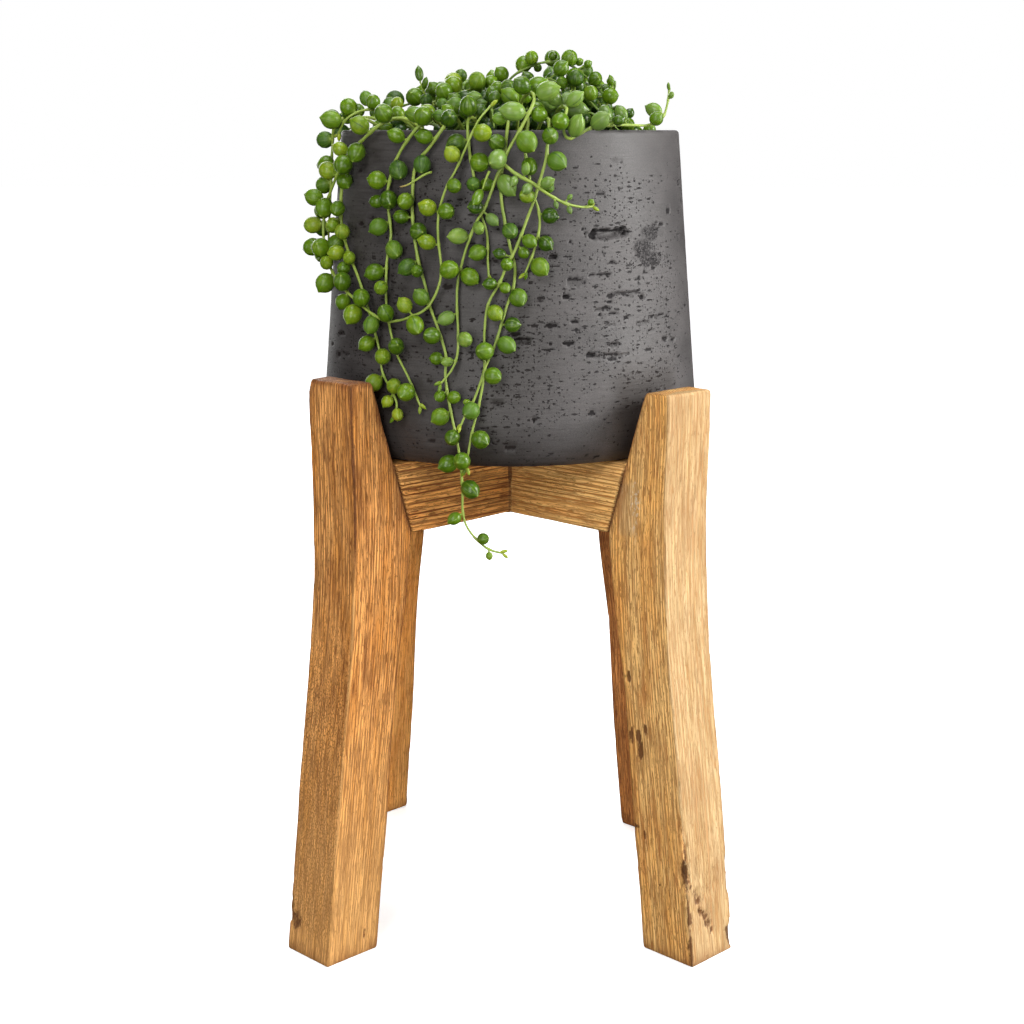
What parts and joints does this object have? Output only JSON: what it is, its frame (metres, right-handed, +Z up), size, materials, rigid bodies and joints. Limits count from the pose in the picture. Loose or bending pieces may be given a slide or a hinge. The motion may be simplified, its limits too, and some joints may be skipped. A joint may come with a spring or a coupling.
{
  "type": "potted string of pearls on a plant stand",
  "caption": "String of pearls succulent trailing over a round concrete pot, which rests on crossed rails between the bent legs of a wooden stand.",
  "frame": {"origin": "on the floor under the middle of the whole part", "axes": "+Z up from the floor through the pot and plant, -Y towards the side the picture shows, +X to the right in that view"},
  "size_m": [0.222, 0.2344, 0.4391],
  "materials": {
    "concrete": "matte charcoal cast concrete with air-bubble pits and shallow streaks",
    "warm_wood": "orange-brown solid wood with dark lengthwise grain and worn edges, oiled",
    "pale_wood": "yellow-brown solid wood with dark lengthwise grain and worn edges, oiled",
    "soil": "dark crumbly potting mix",
    "foliage": "smooth, slightly glossy and translucent green succulent leaves on yellow-green stems"
  },
  "bodies": {
    "root": {"leg_front_left": "warm_wood", "leg_front_right": "pale_wood", "leg_rear_left": "warm_wood", "leg_rear_right": "pale_wood", "rail_front_left": "warm_wood", "rail_front_right": "pale_wood", "pot": "concrete", "soil": "soil", "stem_crown_1": "foliage", "stem_crown_10": "foliage", "stem_crown_11": "foliage", "stem_crown_12": "foliage", "stem_crown_2": "foliage", "stem_crown_3": "foliage", "stem_crown_4": "foliage", "stem_crown_5": "foliage", "stem_crown_6": "foliage", "stem_crown_7": "foliage", "stem_crown_8": "foliage", "stem_crown_9": "foliage", "stem_crown_arch": "foliage", "stem_front_crossing": "foliage", "stem_front_long": "foliage", "stem_front_right": "foliage", "stem_front_short": "foliage", "stem_left_front": "foliage", "stem_left_rear": "foliage", "stem_left_rim": "foliage", "stem_left_side": "foliage", "stem_longest": "foliage", "stem_loop": "foliage", "stem_over_rim": "foliage", "stem_pale": "foliage", "stem_rear_long": "foliage", "stem_rear_middle": "foliage", "stem_rear_right": "foliage"}
  },
  "joints": []
}
